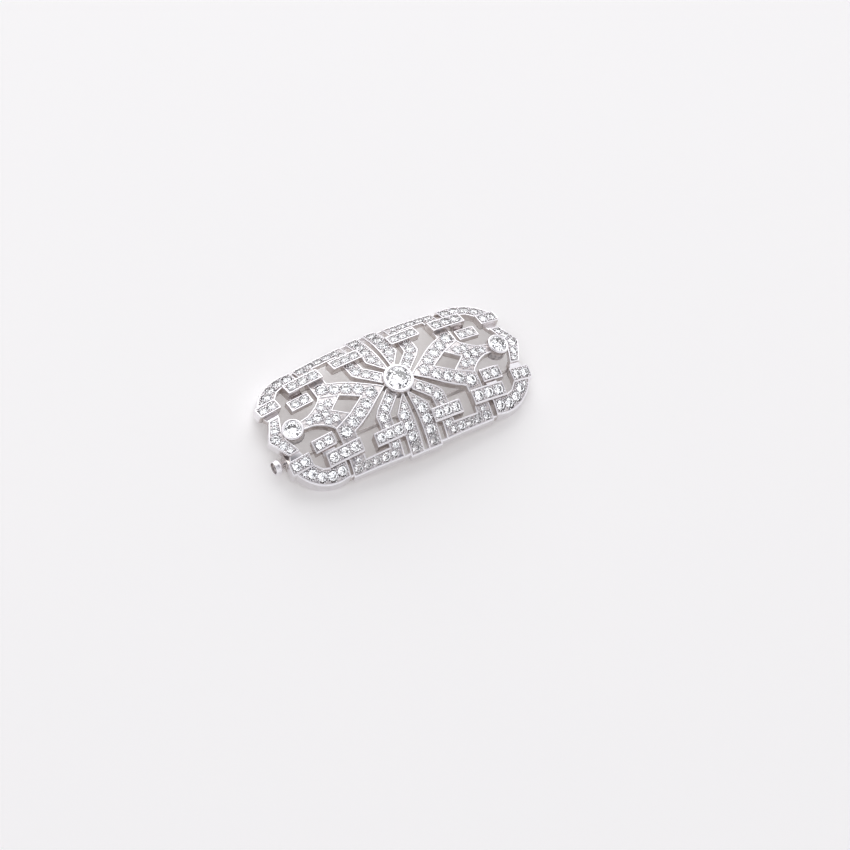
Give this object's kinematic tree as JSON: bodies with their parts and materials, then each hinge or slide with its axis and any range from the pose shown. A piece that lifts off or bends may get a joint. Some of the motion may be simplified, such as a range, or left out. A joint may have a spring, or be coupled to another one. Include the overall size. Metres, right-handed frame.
{
  "type": "brooch",
  "caption": "Domed openwork plaque brooch, pavé set, with three collet-set brilliants and a hinged pin that slides into a tube catch.",
  "frame": {"origin": "middle of the bounding box, on the surface that the brooch lies on", "axes": "+X along the length towards the hinge, +Y across the width, +Z out of the front"},
  "size_m": [0.0478, 0.023, 0.0085],
  "materials": {
    "silver": "bright polished silver with a white rhodium finish",
    "pin_silver": "drawn wire, smooth and slightly duller than the front",
    "brilliant": "colourless brilliant-cut stone",
    "pave": "colourless small brilliant-cut stones"
  },
  "bodies": {
    "root": {"plate": "silver", "catch_tube": "silver", "pin_stem": "pin_silver", "centre_stone": "brilliant", "left_end_stone": "brilliant", "right_end_stone": "brilliant", "left_pave": "pave", "right_pave": "pave"}
  },
  "joints": []
}
